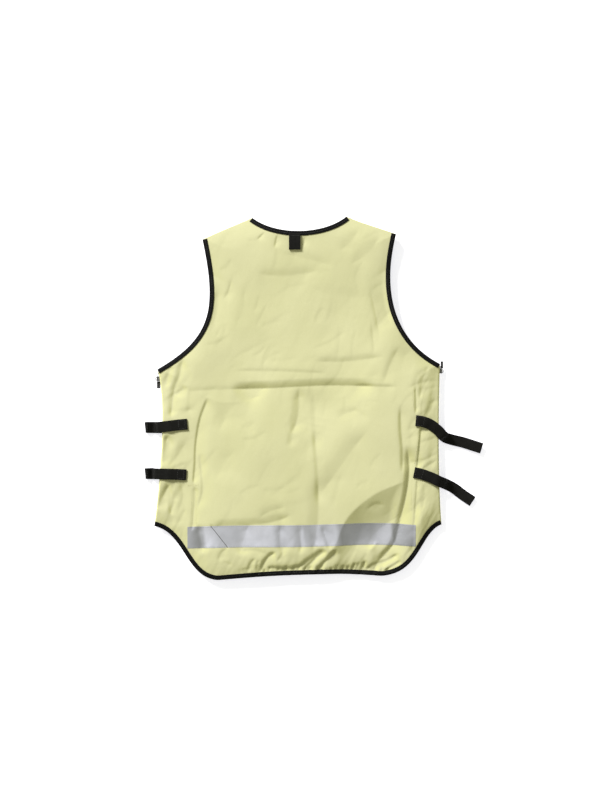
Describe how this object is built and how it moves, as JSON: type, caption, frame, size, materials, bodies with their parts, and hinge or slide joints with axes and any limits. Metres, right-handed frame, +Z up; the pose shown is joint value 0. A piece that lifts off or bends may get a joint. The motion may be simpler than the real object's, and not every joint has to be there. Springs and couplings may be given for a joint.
{
  "type": "running vest",
  "caption": "Sleeveless zip-side running vest in pale yellow cloth with black bound edges, webbing side straps and a reflective band, lying flat with its back up.",
  "frame": {"origin": "middle of the footprint on the floor, under the lying vest", "axes": "+Y from the hem to the neck, +Z up from the floor to the back of the vest, +X to the right as the back is seen from above"},
  "size_m": [0.6268, 0.6708, 0.0267],
  "materials": {
    "cloth": "thin crisp woven cloth, pale greenish yellow",
    "binding": "black woven tape, matte",
    "webbing": "black ribbed webbing, matte",
    "reflective": "silver-grey reflective tape, satin",
    "zip": "black coil",
    "slider": "dark painted metal, satin"
  },
  "bodies": {
    "root": {"back_panel": "cloth", "back_side_left": "cloth", "back_side_right": "cloth", "back_yoke": "cloth", "back_shoulder_left": "cloth", "back_shoulder_right": "cloth", "front_panel": "cloth", "shoulder_seam_left": "cloth", "shoulder_seam_right": "cloth", "neck_binding_back": "binding", "neck_binding_front": "binding", "hem_binding_back": "binding", "hem_binding_front": "binding", "armhole_left_binding_back": "binding", "armhole_left_binding_front": "binding", "armhole_right_binding_back": "binding", "armhole_right_binding_front": "binding", "neck_loop": "webbing", "reflective_tape": "reflective", "strap_left_upper": "webbing", "strap_left_lower": "webbing", "strap_right_upper": "webbing", "strap_right_lower": "webbing", "side_zip_left": "zip", "side_zip_right": "zip", "zip_slider_left": "slider", "zip_slider_right": "slider", "zip_pull_left": "webbing", "zip_pull_right": "webbing"}
  },
  "joints": []
}
